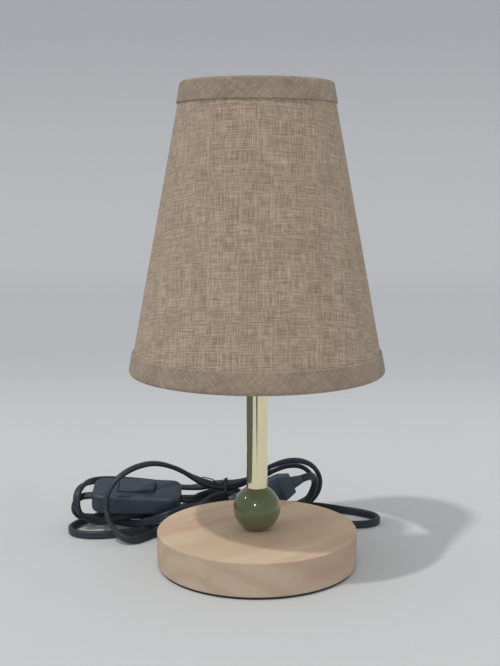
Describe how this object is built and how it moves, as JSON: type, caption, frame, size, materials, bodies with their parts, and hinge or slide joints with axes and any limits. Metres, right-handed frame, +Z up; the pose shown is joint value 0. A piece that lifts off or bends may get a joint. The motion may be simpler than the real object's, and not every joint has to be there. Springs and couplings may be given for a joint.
{
  "type": "table night light",
  "caption": "Small table lamp: round wooden foot, painted ball, gold tube and tapered linen shade, with a flat cord tied in a hank, an inline rocker switch and a flat-blade plug.",
  "frame": {"origin": "centre of the foot's underside, on the table", "axes": "+Z up along the lamp's axis, -Y towards the picture's viewer, the cord leaves at the back left"},
  "size_m": [0.2085, 0.1854, 0.2846],
  "materials": {
    "beech": "bare turned beech, fine grain",
    "foot_pad": "thin dark pad",
    "olive_paint": "gloss olive paint over turned wood",
    "gold": "polished pale gold",
    "steel": "zinc plated",
    "cord_pvc": "satin dark grey flat twin cord",
    "wire": "single wire insulation",
    "holder_plastic": "white moulded plastic",
    "ceramic": "unglazed",
    "brass": "bare",
    "bulb_cap": "thin rolled cap",
    "bulb_insulator": "dark insulator with tip",
    "bulb_housing": "white",
    "bulb_globe": "frosted",
    "carrier": "white",
    "linen": "plain weave linen with slubs",
    "liner": "white stiff film",
    "trim": "linen strip, folded over the wire",
    "switch_plastic": "satin dark grey",
    "plug_pvc": "satin dark grey moulding",
    "tie": "dark coated wire tie"
  },
  "bodies": {
    "lamp": {"base_disc": "beech", "base_pad": "foot_pad", "ball": "olive_paint", "stem_tube": "gold", "threaded_rod": "steel", "base_washer": "steel", "base_nut": "steel", "cord_grommet": "cord_pvc", "cord_inner": "cord_pvc", "wire_left": "wire", "wire_right": "wire", "holder_cap": "holder_plastic", "holder_grub_screw": "steel", "holder_shell": "holder_plastic", "holder_core": "ceramic", "terminal_left": "brass", "terminal_right": "brass", "side_contact": "brass", "centre_contact": "brass", "screw_shell": "brass", "shade_ring_nut": "holder_plastic", "switch_base": "switch_plastic", "switch_cover": "switch_plastic", "switch_contact_left": "brass", "switch_contact_right": "brass", "switch_through_strip": "brass", "switch_screw_left": "steel", "switch_screw_right": "steel", "plug_body": "plug_pvc", "plug_blade_low": "brass", "plug_blade_high": "brass", "plug_relief": "plug_pvc", "twist_tie": "tie", "cord_lead": "cord_pvc", "cord_hank": "cord_pvc", "cord_to_switch": "cord_pvc", "cord_to_plug": "cord_pvc"},
    "shade": {"fitter_ring": "carrier", "carrier_arm_1": "carrier", "carrier_arm_2": "carrier", "carrier_arm_3": "carrier", "bottom_ring": "carrier", "top_ring": "carrier", "shade_liner": "liner", "shade_cover": "linen", "bottom_trim": "trim", "top_trim": "trim"},
    "bulb_screw": {"bulb_tip": "bulb_insulator"},
    "bulb": {"bulb_cap": "bulb_cap", "bulb_housing": "bulb_housing", "bulb_globe": "bulb_globe"},
    "rocker": {"switch_rocker": "switch_plastic", "switch_moving_contact": "brass"}
  },
  "joints": [
    {"name": "shade_turn", "type": "hinge", "parent": "lamp", "child": "shade", "pos_m": [0, 0, 0.149], "axis": [0, 0, 1], "continuous": true},
    {"name": "bulb_rise", "type": "slide", "parent": "lamp", "child": "bulb_screw", "axis": [0, 0, 1], "range_m": [0, 0.0146]},
    {"name": "bulb_turn", "type": "hinge", "parent": "bulb_screw", "child": "bulb", "pos_m": [0, 0, 0.16], "axis": [0, 0, 1], "range_deg": [0, 1440]},
    {"name": "rocker_tilt", "type": "hinge", "parent": "lamp", "child": "rocker", "pos_m": [-0.07912, 0.06363, 0.02559], "axis": [0, 0.9755, 0.2198], "range_deg": [0, 14]}
  ],
  "couplings": [
    {"joint": "bulb_rise", "follows": "bulb_turn", "m_per_rad": 0.0005776}
  ]
}
